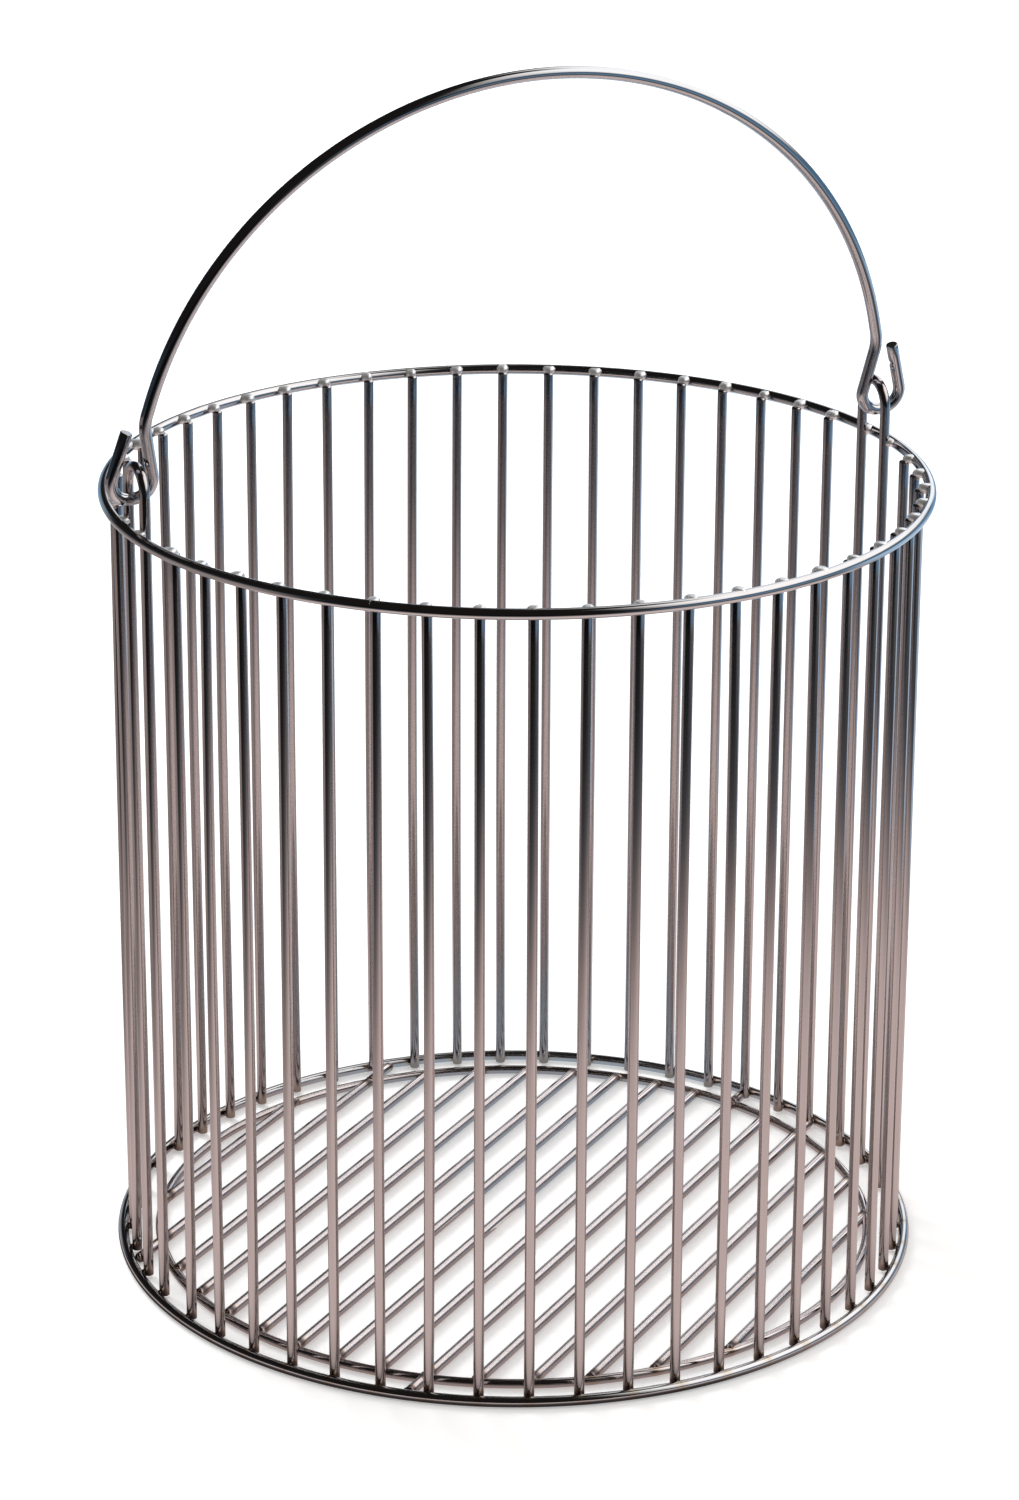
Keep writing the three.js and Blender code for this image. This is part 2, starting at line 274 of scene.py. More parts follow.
faint_shade = np.interp(rr.ravel(), FAINT_RADII, FAINT_LIGHT)[:, None]
shades = shades * (faint_shade + sector(-120, 55, 45) * (in_shade - faint_shade))
card_quads = grid_quads(len(radius_steps), CARD_TURNS, wrap=True)
reflection_card("floor_card", turned_to_view(ground), shades, card_quads)
print("floor card with", len(ground), "points")

# %% [markdown]
# The dome card is half a ball over the floor card, nearly black. Each patch of light on it has a
# direction and a size: the large window on the right, two narrow ones at the back, and weak bluish
# ones low down, which give the steel its cold edges. Where patches overlap, the brighter one counts.

# %% Dome card
DARK = 0.012
DOME_ROWS, DOME_TURNS, DOME_FOOT = 60, 144, -0.03
PATCHES = [  # turn, rise, half width and half height in degrees, brightness, tint
    (16, 44, 66, 24, 1.60, np.ones(3)),
    (74, 24, 12, 17, 1.40, 0.7 + 0.3 * COOL),
    (92, 0, 9, 16, 1.00, 0.7 + 0.3 * COOL),
    (58, 2, 24, 12, 0.36, BLUE),
    (108, 0, 24, 16, 0.36, COOL),
    (5, 2, 55, 17, 0.22, BLUE),
    (180, 0, 45, 15, 0.045, COOL),
]
PATCH_EDGE = 8


def patch_glow(turn, rise, half_wide, half_high):
    """1 inside a patch of the dome and 0 outside it, with a soft edge: one over e to the powers of the
    distances from its middle, taken as shares of the half width and half height."""
    across = (np.degrees(aa.ravel()) - turn + 180) % 360 - 180
    above = np.degrees(ee.ravel()) - rise
    return np.exp(-(across / half_wide) ** PATCH_EDGE - (above / half_high) ** PATCH_EDGE)[:, None]


rise_steps = np.linspace(DOME_FOOT, np.pi / 2, DOME_ROWS)
turn_steps = np.linspace(0, 2 * np.pi, DOME_TURNS, endpoint=False)
ee, aa = np.meshgrid(rise_steps, turn_steps, indexing="ij")
sky = np.stack([np.cos(ee) * np.cos(aa), np.cos(ee) * np.sin(aa), np.sin(ee)], -1).reshape(-1, 3)
shades = DARK * WARM * np.ones((len(sky), 1))
for *place_on_dome, brightness, tint in PATCHES:
    shades = np.maximum(shades, patch_glow(*place_on_dome) * brightness * tint)
dome_quads = grid_quads(DOME_ROWS, DOME_TURNS, wrap=True)
reflection_card("dome_card", turned_to_view(sky * CARD_REACH), shades, dome_quads)
print("dome card with", len(PATCHES), "patches,", round(float(shades.max()), 2), "at its brightest")

# %% [markdown]
# Drawn wire carries fine lines along its length, and handling leaves faint smears. Both are on all
# wires, so they are one node group with named sockets, placed in each material with its own values.
# The lines are noise on the wire's UV map, stretched along the wire. The smears lie on the object.

# %% Drawing lines
UV_LENGTH = 100 * MM
LINE_STRETCH = (2.5, 26, 1)
SMEAR_SCALE = 34.0
LINE_SHARE, SMEAR_SHARE = 0.55, 0.45


def new_group(name, inputs, outputs):
    """A shader node group with float or colour sockets, and its input and output nodes."""
    group = bpy.data.node_groups.new(name, "ShaderNodeTree")
    for label, kind in inputs:
        group.interface.new_socket(label, in_out="INPUT", socket_type=kind)
    for label, kind in outputs:
        group.interface.new_socket(label, in_out="OUTPUT", socket_type=kind)
    return group, group.nodes.new("NodeGroupInput"), group.nodes.new("NodeGroupOutput")


def maths(group, operation, first, second):
    """A Math node whose two inputs are numbers or other nodes' sockets."""
    node = group.nodes.new("ShaderNodeMath")
    node.operation = operation
    for socket, value in zip(node.inputs, (first, second)):
        if isinstance(value, (int, float)):
            socket.default_value = value
        else:
            group.links.new(value, socket)
    return node.outputs[0]


drawing_lines, given, made = new_group(
    "drawing_lines",
    [("Roughness", "NodeSocketFloat"), ("Spread", "NodeSocketFloat")],
    [("Roughness", "NodeSocketFloat"), ("Height", "NodeSocketFloat"), ("Dullness", "NodeSocketFloat")])
wire_uv = drawing_lines.nodes.new("ShaderNodeUVMap")
stretch = drawing_lines.nodes.new("ShaderNodeMapping")
stretch.inputs["Scale"].default_value = LINE_STRETCH
lines = drawing_lines.nodes.new("ShaderNodeTexNoise")
lines.inputs["Scale"].default_value = 1.0
lines.inputs["Detail"].default_value = 5.0
place_on_part = drawing_lines.nodes.new("ShaderNodeTexCoord")
smears = drawing_lines.nodes.new("ShaderNodeTexNoise")
smears.inputs["Scale"].default_value = SMEAR_SCALE
smears.inputs["Detail"].default_value = 3.0
drawing_lines.links.new(wire_uv.outputs["UV"], stretch.inputs["Vector"])
drawing_lines.links.new(stretch.outputs["Vector"], lines.inputs["Vector"])
drawing_lines.links.new(place_on_part.outputs["Object"], smears.inputs["Vector"])
mixed = maths(drawing_lines, "ADD", maths(drawing_lines, "MULTIPLY", lines.outputs["Fac"], LINE_SHARE),
              maths(drawing_lines, "MULTIPLY", smears.outputs["Fac"], SMEAR_SHARE))
centred = maths(drawing_lines, "SUBTRACT", mixed, 0.5)
rough = maths(drawing_lines, "ADD", given.outputs["Roughness"],
              maths(drawing_lines, "MULTIPLY", centred, given.outputs["Spread"]))
drawing_lines.links.new(rough, made.inputs["Roughness"])
drawing_lines.links.new(lines.outputs["Fac"], made.inputs["Height"])
drawing_lines.links.new(mixed, made.inputs["Dullness"])
print("group", drawing_lines.name, "with", len(drawing_lines.nodes), "nodes")

# %% [markdown]
# Every weld leaves a dark stain with a straw-coloured edge, where the heat has oxidised the steel.
# Its near-black core is partly painted shade: the contact shadow and dark reflection where the
# wires meet. It could be drawn in an image, but a value kept at each point of the mesh is simpler:
# 1 at a weld, fading out within a few millimetres. A colour ramp turns that value into the colours
# of the stain and the shade, and the smears of the drawing lines make its edge ragged.

# %% Weld stain and painted joint shade
RAGGED, SMEAR_DEPTH, SMEAR_LIFT, STAIN_DULLS = 0.5, 0.25, 0.4, 0.3
# The straw and brown steps are the oxide; the near-black end is painted shade where wires touch.
STAIN_AND_SHADE_COLOURS = [(0.0, (1.0, 1.0, 1.0)), (0.18, (0.95, 0.86, 0.74)), (0.42, (0.55, 0.46, 0.42)),
                 (0.75, (0.24, 0.21, 0.21)), (1.0, (0.12, 0.11, 0.11))]

weld_stain_and_shade, given, made = new_group(
    "weld_stain_and_shade",
    [("Steel", "NodeSocketColor"), ("Dullness", "NodeSocketFloat"), ("Roughness", "NodeSocketFloat")],
    [("Color", "NodeSocketColor"), ("Roughness", "NodeSocketFloat")])
heat = weld_stain_and_shade.nodes.new("ShaderNodeAttribute")
heat.attribute_name = "weld_heat_and_shade"
ragged = maths(weld_stain_and_shade, "MULTIPLY", heat.outputs["Fac"],
               maths(weld_stain_and_shade, "ADD", given.outputs["Dullness"], RAGGED))
ramp = weld_stain_and_shade.nodes.new("ShaderNodeValToRGB")
while len(ramp.color_ramp.elements) < len(STAIN_AND_SHADE_COLOURS):
    ramp.color_ramp.elements.new(0.5)
for element, (position, colour) in zip(ramp.color_ramp.elements, STAIN_AND_SHADE_COLOURS):
    element.position = position
    element.color = (*colour, 1)
tint = weld_stain_and_shade.nodes.new("ShaderNodeMix")
tint.data_type = "RGBA"
tint.blend_type = "MULTIPLY"
tint.inputs["Factor"].default_value = 1.0
shade = weld_stain_and_shade.nodes.new("ShaderNodeMix")
shade.data_type = "RGBA"
shade.blend_type = "MULTIPLY"
shade.inputs["Factor"].default_value = SMEAR_DEPTH
grey = weld_stain_and_shade.nodes.new("ShaderNodeCombineColor")
for channel in ("Red", "Green", "Blue"):
    lifted = maths(weld_stain_and_shade, "ADD", given.outputs["Dullness"], SMEAR_LIFT)
    weld_stain_and_shade.links.new(lifted, grey.inputs[channel])
rgba = [s for s in tint.inputs if s.type == "RGBA"]
weld_stain_and_shade.links.new(ragged, ramp.inputs["Fac"])
weld_stain_and_shade.links.new(given.outputs["Steel"], rgba[0])
weld_stain_and_shade.links.new(ramp.outputs["Color"], rgba[1])
shade_rgba = [s for s in shade.inputs if s.type == "RGBA"]
tint_colour = [s for s in tint.outputs if s.type == "RGBA"][0]
weld_stain_and_shade.links.new(tint_colour, shade_rgba[0])
weld_stain_and_shade.links.new(grey.outputs["Color"], shade_rgba[1])
weld_stain_and_shade.links.new([s for s in shade.outputs if s.type == "RGBA"][0], made.inputs["Color"])
weld_stain_and_shade.links.new(maths(weld_stain_and_shade, "ADD", given.outputs["Roughness"],
                           maths(weld_stain_and_shade, "MULTIPLY", ragged, STAIN_DULLS)), made.inputs["Roughness"])
print("group", weld_stain_and_shade.name, "with", len(weld_stain_and_shade.nodes), "nodes")

# %% [markdown]
# Stainless steel is a metal with a slightly warm grey reflection. The rings and the bail are
# polished bright, the uprights are a little duller, and the floor lies between them. Their colours
# are lit and shaded copies of that one steel: the floor's is painted lighter, so that the bars'
# highlights read whiter, and the uprights' is painted darker and warmer, for the shaded warm floor
# that they reflect. The weld spots along the rim are pale and half matt, so they are the one finish
# that isn't fully metallic and scatters some of its light; their pale colour is partly painted glint.

# %% Steel finishes
LINE_DEPTH = 0.05 * MM


def steel(name, colour, roughness, spread, relief, metal=1.0):
    """Steel wire: a metal with drawing lines in its roughness and relief and stains at its welds."""
    material = bpy.data.materials.new(name)
    material.use_nodes = True
    nodes, links = material.node_tree.nodes, material.node_tree.links
    shader = nodes["Principled BSDF"]
    shader.inputs["Metallic"].default_value = metal
    lines = nodes.new("ShaderNodeGroup")
    lines.node_tree = drawing_lines
    lines.inputs["Roughness"].default_value = roughness
    lines.inputs["Spread"].default_value = spread
    stain = nodes.new("ShaderNodeGroup")
    stain.node_tree = weld_stain_and_shade
    stain.inputs["Steel"].default_value = (*colour, 1)
    relief_node = nodes.new("ShaderNodeBump")
    relief_node.inputs["Strength"].default_value = relief
    relief_node.inputs["Distance"].default_value = LINE_DEPTH
    links.new(lines.outputs["Dullness"], stain.inputs["Dullness"])
    links.new(lines.outputs["Roughness"], stain.inputs["Roughness"])
    links.new(lines.outputs["Height"], relief_node.inputs["Height"])
    links.new(stain.outputs["Color"], shader.inputs["Base Color"])
    links.new(stain.outputs["Roughness"], shader.inputs["Roughness"])
    links.new(relief_node.outputs["Normal"], shader.inputs["Normal"])
    return material


RING_STEEL = steel("ring_steel_polished", (0.62, 0.60, 0.60), 0.09, 0.08, 0.20)
# Painted darker and warmer than the rings, for the shaded warm floor that the uprights reflect.
UPRIGHT_STEEL = steel("upright_steel_satin", (0.56, 0.51, 0.50), 0.14, 0.10, 0.25)
# Painted lighter than the rings, so that the bars' highlights read whiter.
FLOOR_STEEL = steel("floor_steel_painted_lighter", (0.67, 0.595, 0.58), 0.12, 0.10, 0.3)
BAIL_STEEL = steel("bail_steel_polished", (0.60, 0.59, 0.60), 0.08, 0.08, 0.20)
# Pale colour, partly painted glint on the weld spots along the rim.
WELD_STEEL = steel("weld_spot_matt_painted_glint", (0.91, 0.89, 0.88), 0.30, 0.20, 0.5, metal=0.74)
print("5 steel finishes")

# %% [markdown]
# One helper makes every wire. The wire's middle line lies in a plane, so its round section needs
# no twisting frame: one direction of the section is the plane's normal, the other lies in the
# plane, square to the path. The surface is the path plus the radius times a turning mix of the
# two. The ends are either cut, with the burr taken off, or melted round by the weld.

# %% Points along a wire
TAU = 2 * math.pi
STAIN_SPREAD = 2.0 * MM
CUT_ROWS, CUT_INSETS = np.array([0.0, 0.12, 0.3]) * MM, np.array([0.26, 0.07, 0.0]) * MM
MELTED_RISE, MELTED_START, MELTED_ROWS = 0.45, 0.12, 7
TIP_CLEAR, ROW_CLEAR = 0.2 * MM, 0.1 * MM


def lengths_along(path):
    """Distance from the path's first point to each of its points."""
    return np.concatenate([[0], np.cumsum(np.linalg.norm(np.diff(path, axis=0), axis=1))])


def with_points(path, places):
    """The path with extra points at some distances along it."""
    return point_at(path, np.union1d(lengths_along(path), places))


def point_at(path, distance):
    """Points at the given distances along a path, by straight interpolation on each axis."""
    run = lengths_along(path)
    return np.stack([np.interp(distance, run, path[:, k]) for k in range(3)], axis=-1)


def tip_rows(kind, radius):
    """Distances from a wire's end and shares of its radius there, for a cut or a melted end."""
    if kind == "cut":
        return CUT_ROWS, 1 - CUT_INSETS / radius
    bend = np.linspace(MELTED_START, math.pi / 2, MELTED_ROWS)
    return MELTED_RISE * radius * (1 - np.cos(bend)), np.sin(bend)


def stations(path, radius, ends, welds):
    """Where the rings of points stand along a wire, and each one's share of the radius."""
    run = lengths_along(path)
    first, first_share = tip_rows(ends[0], radius)
    last, last_share = tip_rows(ends[1], radius)
    near_welds = (np.asarray(welds)[:, None] + np.linspace(-2.5, 2.5, 9) * STAIN_SPREAD).ravel()
    middle = np.unique(np.concatenate([run, near_welds]).round(7))
    middle = middle[(middle > first[-1] + TIP_CLEAR) & (middle < run[-1] - last[-1] - TIP_CLEAR)]
    middle = middle[np.concatenate([[True], np.diff(middle) > ROW_CLEAR])]
    distance = np.concatenate([first, middle, (run[-1] - last)[::-1]])
    return distance, np.concatenate([first_share, np.ones(len(middle)), last_share[::-1]])


print("a cut end takes", len(CUT_ROWS), "rings of points, a melted one", MELTED_ROWS)

# %% Round wire along a path
HEADING_STEP = 0.2 * MM
STAIN_BEHIND, STAIN_WRAP = 0.25, 1.5


def mesh_piece(name, points, faces, uv, heat, material, flat_faces=0):
    """A mesh object with a UV map, its weld stain with painted joint shade, and smooth faces, apart
    from the last flat ones.
    """
    mesh = bpy.data.meshes.new(name)
    mesh.from_pydata(points.tolist(), [], faces)
    mesh.uv_layers.new(name="along_wire").data.foreach_set("uv", np.asarray(uv, "f").ravel())
    mesh.attributes.new("weld_heat_and_shade", "FLOAT", "POINT").data.foreach_set("value", np.asarray(heat, "f"))
    smooth = np.ones(len(faces), bool)
    smooth[len(faces) - flat_faces:] = False
    mesh.polygons.foreach_set("use_smooth", smooth)
    mesh.materials.append(material)
    mesh.update()
    piece = bpy.data.objects.new(name, mesh)
    bpy.context.collection.objects.link(piece)
    return piece


def round_wire(name, path, normal, radius, material, ends=("cut", "cut"), closed=False, welds=(),
               weld_turn=0.0, weld_heat_and_shade=1.0, sides=20, reshape=None):
    """Round wire. Surface = path(s) + radius(s) * (cos v * side(s) + sin v * normal), where side is the
    normal crossed with the path's direction, s runs along the wire and v round it. The weld stain,
    with its painted joint shade, is strongest at v = weld_turn, with the value given for the weld
    there. reshape(s, v) may scale the radius over the surface."""
    path = np.asarray(path, float)
    loop = np.vstack([path, path[:1]]) if closed else path
    length = lengths_along(loop)[-1]
    if closed:
        distance, share = lengths_along(loop)[:-1], np.ones(len(path))
        before = point_at(loop, (distance - HEADING_STEP) % length)
        after = point_at(loop, (distance + HEADING_STEP) % length)
    else:
        distance, share = stations(path, radius, ends, welds)
        before = point_at(path, distance - HEADING_STEP)
        after = point_at(path, distance + HEADING_STEP)
    along = (after - before) / np.linalg.norm(after - before, axis=1, keepdims=True)
    normal = np.asarray(normal, float)
    side = np.cross(normal, along)
    v = np.arange(sides) * TAU / sides
    reach = (radius * share)[:, None] * np.ones(sides)
    if reshape is not None:
        reach = reach * reshape(distance[:, None], v[None, :])
    centre = point_at(loop, distance)[:, None, :]
    ring = np.cos(v)[None, :, None] * side[:, None, :] + np.sin(v)[None, :, None] * normal
    points = (centre + reach[..., None] * ring).reshape(-1, 3)
    rows = len(distance)
    quads = grid_quads(rows + closed, sides, wrap=True) % (rows * sides)
    i, j = np.divmod(np.arange(len(quads)), sides)
    u = np.append(distance, length) / UV_LENGTH
    uv = np.stack([np.stack([u[i], j / sides], -1), np.stack([u[i], (j + 1) / sides], -1),
                   np.stack([u[i + 1], (j + 1) / sides], -1), np.stack([u[i + 1], j / sides], -1)], 1)
    faces, uv = quads.tolist(), uv.reshape(-1, 2)
    if not closed:
        turn = np.arange(sides)
        faces += [turn[::-1].tolist(), (turn + (rows - 1) * sides).tolist()]
        uv = np.vstack([uv, np.column_stack([np.full(sides, u[0]), turn[::-1] / sides]),
                        np.column_stack([np.full(sides, u[rows - 1]), turn / sides])])
    gap = np.full((rows, 1), 1.0)
    if len(welds):
        gap = np.abs(distance[:, None] - np.asarray(welds, float)[None, :])
    if closed:
        gap = np.minimum(gap, length - gap)
    # The weld value: oxide stain and painted shade where the wires touch, highest at each weld.
    heat = weld_heat_and_shade * np.exp(-(gap / STAIN_SPREAD) ** 2).max(axis=1)[:, None]
    facing = (0.5 + 0.5 * np.cos(v - weld_turn)) ** STAIN_WRAP
    heat = heat * (STAIN_BEHIND + (1 - STAIN_BEHIND) * facing)[None, :]
    return mesh_piece(name, points, faces, uv, heat.ravel(), material, flat_faces=0 if closed else 2)


print("round_wire is ready")

# %% [markdown]
# Each finished wire has to move with the right body and stand for the CAD node whose place it
# takes. One short helper says both, so that no wire forgets one.

# %% Fitting a wire on the part


def fit_on(piece, body, slot, *nodes):
    """The piece moves with a body and stands for its CAD nodes; slot is not used."""
    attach(piece, body)
    if nodes:
        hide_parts(*nodes)


def middle_of(node):
    """Middle of a CAD node's box."""
    low, high = (np.array(corner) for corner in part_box(node))
    return (low + high) / 2


print("the rim's middle is at", middle_of("rim_ring").round(4))

# %% [markdown]
# The rim and the base are plain hoops. Each is a wire bent into a circle and butt-welded to
# itself, which leaves a slight swelling at the joint. The hoops take their radius and height
# from the boxes of their CAD nodes. The uprights stand against their inner sides.

# %% Rim and base hoops
UPRIGHTS = ["upright_%02d" % number for number in range(1, 47)]
UPRIGHT_RADIUS = 1.9 * MM
HOOP_POINTS = 480
JOINT_WIDE, JOINT_SWELL = 2.5 * MM, 0.045
UP = np.array([0.0, 0.0, 1.0])
upright_places = np.array([middle_of(node)[:2] for node in UPRIGHTS])
ear_low, ear_high = (np.array(corner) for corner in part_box("ear_right"))
ear_plane = (ear_low[0] + ear_high[0]) / 2
ear_leg = ear_high[1] - UPRIGHT_RADIUS
leg_places = np.array([[x * ear_plane, y * ear_leg] for x in (1, -1) for y in (1, -1)])
wall_places = np.vstack([upright_places, leg_places])
wall_turns = np.arctan2(wall_places[:, 1], wall_places[:, 0]) % TAU


def circle(radius, height, count):
    """Points on a level circle about the part's axis."""
    turn = np.arange(count) * TAU / count
    return np.stack([radius * np.cos(turn), radius * np.sin(turn), np.full(count, height)], axis=-1)


def butt_joint(place, wide, swell):
    """Scale of the radius that swells smoothly at one place along a hoop."""
    return lambda s, v: 1 + swell * np.exp(-((s - place) / wide) ** 2) + 0 * v


hoops = {}
# The last number is each hoop's weld stain with painted joint shade: faint on the rim, strong on the
# base.
for node, name, joint_turn, heat in (("rim_ring", "rim_hoop", 2.1, 0.1),
                                     ("base_ring", "base_hoop", 1.2, 0.7)):
    low, high = (np.array(corner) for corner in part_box(node))
    wire = (high[2] - low[2]) / 2
    hoop_radius = high[0] - wire
    height = (low[2] + high[2]) / 2
    hoops[node] = (hoop_radius, height)
    hoop = round_wire(name, circle(hoop_radius, height, HOOP_POINTS), UP, wire, RING_STEEL, closed=True,
                      welds=wall_turns * hoop_radius, weld_heat_and_shade=heat,
                      reshape=butt_joint(joint_turn * hoop_radius, JOINT_WIDE, JOINT_SWELL))
    fit_on(hoop, "basket", "ring_steel", node)
    print(name, "radius", round(hoop_radius / MM, 2), "mm, wire", round(2 * wire / MM, 2), "mm")

# %% [markdown]
# The uprights are cut from straight wire, but wire off a coil is never quite straight, so each one
# bows by a fraction of a millimetre, with a fixed seed for the same result each time. Their tops
# are melted round where they are welded to the rim, and catch the light there. The feet are cut.

# %% Uprights
BOW = 0.3 * MM
TOP_MELT = 1.8 * MM
UPRIGHT_POINTS = 25
random = np.random.default_rng(7)
bows = random.normal(0, BOW, (len(UPRIGHTS), 2)).clip(-2 * BOW, 2 * BOW)
base_height = hoops["base_ring"][1]

for number, node in enumerate(UPRIGHTS):
    low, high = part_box(node)
    height = np.linspace(low[2], high[2] - TOP_MELT, UPRIGHT_POINTS)
    bow = np.sin(math.pi * (height - low[2]) / (high[2] - low[2]))[:, None] * bows[number]
    path = np.column_stack([upright_places[number] + bow, height])
    outward = np.append(upright_places[number] / np.linalg.norm(upright_places[number]), 0)
    # Each foot carries the weld stain with painted shade where it meets the base hoop.
    piece = round_wire("upright_wire_%02d" % (number + 1), path, np.cross(UP, outward), UPRIGHT_RADIUS,
                       UPRIGHT_STEEL, ends=("cut", "melted"), welds=[base_height - low[2]])
    fit_on(piece, "basket", "upright_steel", node)
print(len(UPRIGHTS), "uprights, each", round((high[2] - low[2]) / MM), "mm long")

# %% [markdown]
# Two uprights are bent over into hairpins whose loops stand above the rim. They are the ears that
# carry the handle. A bent wire is a chain of straight runs with a round bend at each corner, so
# one helper turns corners and bend radii into such a path.

# %% Ears
BEND_POINTS = 22


def bent_path(corners, bends):
    """Points of straight runs joined by arcs. At each inner corner the arc starts and ends at the bend
    radius times the tangent of half the turn away from it, and its centre lies on the bisector."""
    corners = np.asarray(corners, float)
    pieces = [corners[:1]]
    for before, corner, after, bend in zip(corners, corners[1:], corners[2:], bends):
        back = (before - corner) / np.linalg.norm(before - corner)
        onward = (after - corner) / np.linalg.norm(after - corner)
        turn = math.pi - math.acos(np.clip(back @ onward, -1, 1))
        run = bend * math.tan(turn / 2)
        inward = (back + onward) / np.linalg.norm(back + onward)
        centre = corner + inward * math.hypot(bend, run)
        start = corner + back * run - centre
        sweep = np.linspace(0, turn, BEND_POINTS)[:, None]
        ahead_now = -back * bend
        pieces.append(centre + np.cos(sweep) * start + np.sin(sweep) * ahead_now)
    pieces.append(corners[-1:])
    return np.vstack(pieces)


ear_top = ear_high[2] - UPRIGHT_RADIUS
for node, side in (("ear_right", 1), ("ear_left", -1)):
    x, y = side * ear_plane, side * ear_leg
    corners = [(x, -y, ear_low[2]), (x, -y, ear_top), (x, y, ear_top), (x, y, ear_low[2])]
    path = bent_path(corners, [ear_leg, ear_leg])
    length = lengths_along(path)[-1]
    weld = base_height - ear_low[2]
    piece = round_wire(node + "_wire", path, (side, 0, 0), UPRIGHT_RADIUS, UPRIGHT_STEEL,
                       welds=[weld, length - weld], weld_turn=math.pi / 2)
    fit_on(piece, "basket", "upright_steel", node)
    print(node, "wire", round(length / MM), "mm long")

# %% [markdown]
# The floor is a smaller hoop with parallel bars butted against its inside. All bars come from one
# pitch and one shift, and each is cut to the hoop's chord at its place. A bar ends inside the wire
# that it is welded to, so no gap shows at the joint.

# %% Floor hoop and bars
FLOOR_RING_WIRE = 1.75 * MM
FLOOR_BAR_WIRE = 2.0 * MM
BAR_TURN = math.radians(39.5)
BAR_PITCH, BAR_SHIFT = 17.6 * MM, 3.0 * MM
BAR_NUMBERS = np.arange(-7, 8)
BAR_LIFT, BAR_END_SHORT, BAR_WELD_IN = 0.2 * MM, 1.0 * MM, 2 * MM
BAR_HEIGHT = BAR_LIFT + FLOOR_BAR_WIRE
FLOOR_HOOP_POINTS, BAR_POINTS = 420, 9
FLOOR_JOINT_TURN = 4.4
bar_along = np.array([math.cos(BAR_TURN), math.sin(BAR_TURN), 0.0])
bar_across = np.array([-math.sin(BAR_TURN), math.cos(BAR_TURN), 0.0])
floor_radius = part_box("floor_grid")[1][0] - FLOOR_RING_WIRE
bar_offsets = BAR_SHIFT + BAR_NUMBERS * BAR_PITCH
bar_halves = np.sqrt(floor_radius ** 2 - bar_offsets ** 2) - BAR_END_SHORT

bar_ends = np.stack([sign * bar_halves[:, None] * bar_along + bar_offsets[:, None] * bar_across
                     for sign in (-1, 1)], axis=1) + UP * BAR_HEIGHT
end_turns = np.arctan2(bar_ends[..., 1], bar_ends[..., 0]).ravel() % TAU
hoop_path = circle(floor_radius, FLOOR_RING_WIRE, FLOOR_HOOP_POINTS)
floor_hoop = round_wire("floor_hoop", hoop_path, UP, FLOOR_RING_WIRE, FLOOR_STEEL, closed=True,
                        welds=end_turns * floor_radius,
                        reshape=butt_joint(FLOOR_JOINT_TURN * floor_radius, JOINT_WIDE, JOINT_SWELL))
fit_on(floor_hoop, "basket", "floor_steel", "floor_grid")
for number, (start, end) in enumerate(bar_ends):
    length = np.linalg.norm(end - start)
    path = start + np.linspace(0, 1, BAR_POINTS)[:, None] * (end - start)
    # Both ends carry the weld stain with painted shade where the bar meets the hoop.
    bar = round_wire("floor_bar_%02d" % (number + 1), path, UP, FLOOR_BAR_WIRE, FLOOR_STEEL,
                     welds=[BAR_WELD_IN, length - BAR_WELD_IN], weld_turn=math.pi / 2)
    fit_on(bar, "basket", "floor_steel", "floor_grid")
print(len(bar_ends), "bars inside a hoop of radius", round(floor_radius / MM, 2), "mm")

# %% [markdown]
# Short ties in line with three of the bars run from the hoop out to the wall and carry the floor.
# A slanted wire's box is longer than the wire, so the length is worked out from the box by taking
# off the wire's own thickness and dividing by the cosine of the slant.

# %% Floor ties
TIE_COUNT, TIE_POINTS = 5, 5
TIE_INTO_WALL = 0.9 * MM
tie_spots = []
for number in range(1, TIE_COUNT + 1):
    node = "floor_tie_%d" % number
    low, high = (np.array(corner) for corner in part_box(node))
    span = (high[0] - low[0] - 2 * FLOOR_BAR_WIRE * math.sin(BAR_TURN)) / math.cos(BAR_TURN)
    middle = middle_of(node)
    outward = bar_along * np.sign(middle @ bar_along)
    wall_end = middle + outward * (span / 2 + TIE_INTO_WALL)
    offset = middle @ bar_across
    hoop_end = outward * math.sqrt(floor_radius ** 2 - offset ** 2) + bar_across * offset
    hoop_end[2] = wall_end[2] = BAR_HEIGHT
    path = hoop_end + np.linspace(0, 1, TIE_POINTS)[:, None] * (wall_end - hoop_end)
    # Both ends carry the weld stain with painted shade of the joints.
    tie = round_wire("floor_tie_wire_%d" % number, path, UP, FLOOR_BAR_WIRE, FLOOR_STEEL,
                     welds=[BAR_WELD_IN, np.linalg.norm(wall_end - hoop_end)], weld_turn=math.pi / 2)
    fit_on(tie, "basket", "floor_steel", node)
    tie_spots.append(wall_end)
print(len(tie_spots), "ties")

# %% [markdown]
# The bail is one wire: an arch, a shoulder on each side, and hooks that pass through the ears from
# the inside. The arch is the circle through its top and both shoulders. The path is worked out
# flat, as x along the hinge line and height above it, and then leaned forwards about that line.

